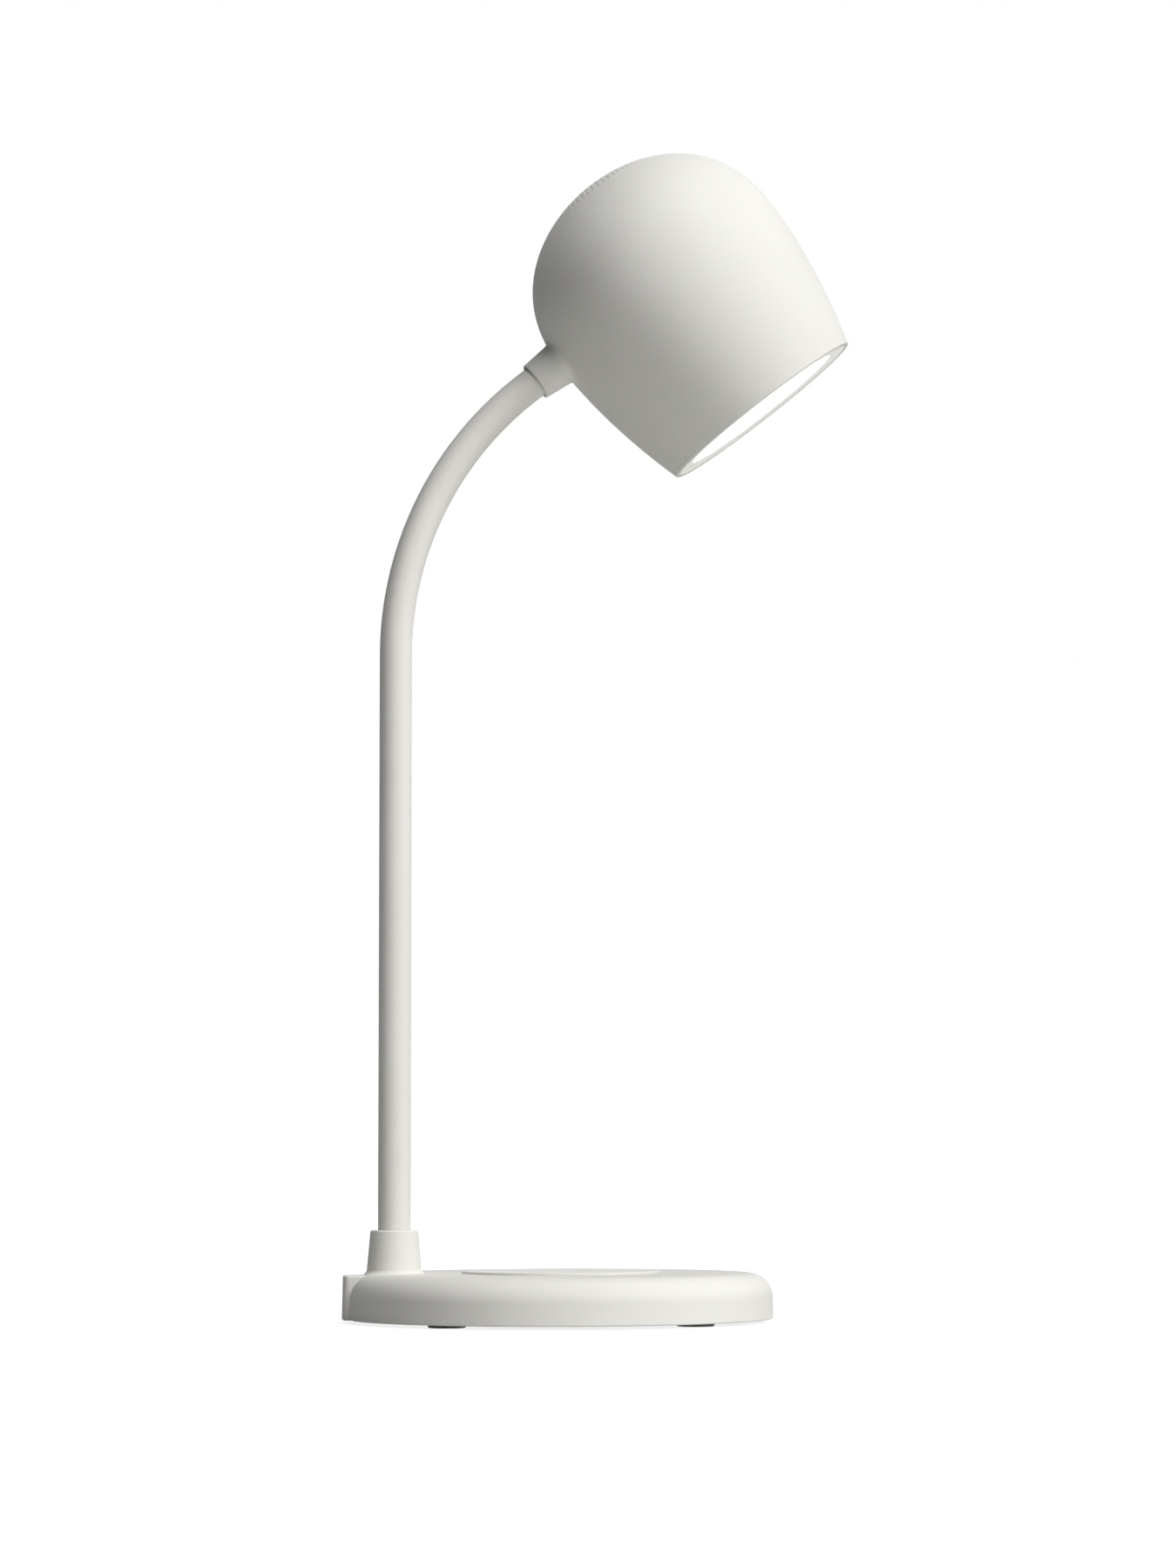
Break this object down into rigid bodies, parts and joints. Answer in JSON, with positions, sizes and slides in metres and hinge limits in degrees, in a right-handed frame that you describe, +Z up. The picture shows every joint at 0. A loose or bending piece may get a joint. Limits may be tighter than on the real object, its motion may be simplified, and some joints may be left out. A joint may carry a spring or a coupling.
{
  "type": "desk lamp with speaker head and charging base",
  "caption": "Desk lamp with a dome head that holds a light and a loudspeaker, a bendable skinned neck, and a round weighted base with a wireless charging pad.",
  "frame": {"origin": "centre of the base, on the plane of the four feet", "axes": "+Z up; +X from the neck's foot towards the side that the head leans to; +Y to the left of that"},
  "size_m": [0.1828, 0.15, 0.4223],
  "materials": {
    "ivory_plastic": "fine matte moulding",
    "silicone_skin": "soft matte skin",
    "pad_plastic": "smooth matte",
    "foot_rubber": "matte",
    "steel": "plated",
    "zinc": "bare die casting",
    "copper_wire": "enamelled wire",
    "ferrite": "sintered sheet",
    "circuit_board": "solder mask",
    "black_plastic": "matte",
    "opal_plate": "opal, evenly lit",
    "white_plastic": "matte white",
    "speaker_cloth": "fine weave",
    "light_diode": "phosphor"
  },
  "bodies": {
    "base": {"base_shell": "ivory_plastic", "base_plate": "ivory_plastic", "ballast_plate": "zinc", "charging_pad": "pad_plastic", "charging_coil": "copper_wire", "ferrite_sheet": "ferrite", "base_board": "circuit_board", "usb_c_socket": "steel", "power_switch": "black_plastic", "rubber_feet": "foot_rubber", "base_screws": "steel", "lower_ferrule": "zinc", "lower_nut": "steel", "neck_core_0": "steel", "neck_sleeve_0": "silicone_skin"},
    "key": {"power_button": "ivory_plastic"},
    "link_1": {"neck_core_1": "steel", "neck_sleeve_1": "silicone_skin"},
    "link_2": {"neck_core_2": "steel", "neck_sleeve_2": "silicone_skin"},
    "link_3": {"neck_core_3": "steel", "neck_sleeve_3": "silicone_skin"},
    "link_4": {"neck_core_4": "steel", "neck_sleeve_4": "silicone_skin"},
    "link_5": {"neck_core_5": "steel", "neck_sleeve_5": "silicone_skin"},
    "link_6": {"neck_core_6": "steel", "neck_sleeve_6": "silicone_skin"},
    "link_7": {"neck_core_7": "steel", "neck_sleeve_7": "silicone_skin"},
    "link_8": {"neck_core_8": "steel", "neck_sleeve_8": "silicone_skin"},
    "head": {"head_shell": "ivory_plastic", "bezel_ring": "ivory_plastic", "diffuser": "opal_plate", "reflector": "white_plastic", "led_board": "white_plastic", "led_chips": "light_diode", "bulkhead": "white_plastic", "audio_board": "circuit_board", "bulkhead_screws": "steel", "speaker_grille": "ivory_plastic", "grille_cloth": "speaker_cloth", "speaker_basket": "zinc", "speaker_cone": "black_plastic", "speaker_magnet": "steel", "speaker_gasket": "foot_rubber", "speaker_screws": "steel", "upper_ferrule": "zinc", "upper_nut": "steel", "neck_core_9": "steel", "neck_sleeve_9": "silicone_skin"}
  },
  "joints": [
    {"name": "key_press", "type": "slide", "parent": "base", "child": "key", "axis": [0.9613, -0.2756, 0], "range_m": [0, 0.0006], "stiffness_N_per_m": 2000, "springref_m": -0.0005},
    {"name": "neck_1_nod", "type": "hinge", "parent": "base", "child": "link_1", "pos_m": [-0.059, 0, 0.0446], "axis": [0, 1, 0], "range_deg": [-16, 16]},
    {"name": "neck_2_sway", "type": "hinge", "parent": "link_1", "child": "link_2", "pos_m": [-0.059, 0, 0.08316], "axis": [1, 0, 0], "range_deg": [-16, 16]},
    {"name": "neck_3_nod", "type": "hinge", "parent": "link_2", "child": "link_3", "pos_m": [-0.059, 0, 0.12172], "axis": [0, 1, 0], "range_deg": [-16, 16]},
    {"name": "neck_4_nod", "type": "hinge", "parent": "link_3", "child": "link_4", "pos_m": [-0.059, 0, 0.16028], "axis": [0, 1, 0], "range_deg": [-16, 16]},
    {"name": "neck_5_sway", "type": "hinge", "parent": "link_4", "child": "link_5", "pos_m": [-0.059, 0, 0.19884], "axis": [1, 0, 0], "range_deg": [-16, 16]},
    {"name": "neck_6_nod", "type": "hinge", "parent": "link_5", "child": "link_6", "pos_m": [-0.059, 0, 0.2374], "axis": [0, 1, 0], "range_deg": [-16, 16]},
    {"name": "neck_7_nod", "type": "hinge", "parent": "link_6", "child": "link_7", "pos_m": [-0.05319, 0, 0.27522], "axis": [0, 1, 0], "range_deg": [-16, 16]},
    {"name": "neck_8_sway", "type": "hinge", "parent": "link_7", "child": "link_8", "pos_m": [-0.0363, 0, 0.30955], "axis": [0.8198, 0, -0.5726], "range_deg": [-16, 16]},
    {"name": "neck_9_nod", "type": "hinge", "parent": "link_8", "child": "head", "pos_m": [-0.00988, 0, 0.33723], "axis": [0, 1, 0], "range_deg": [-16, 16]}
  ]
}
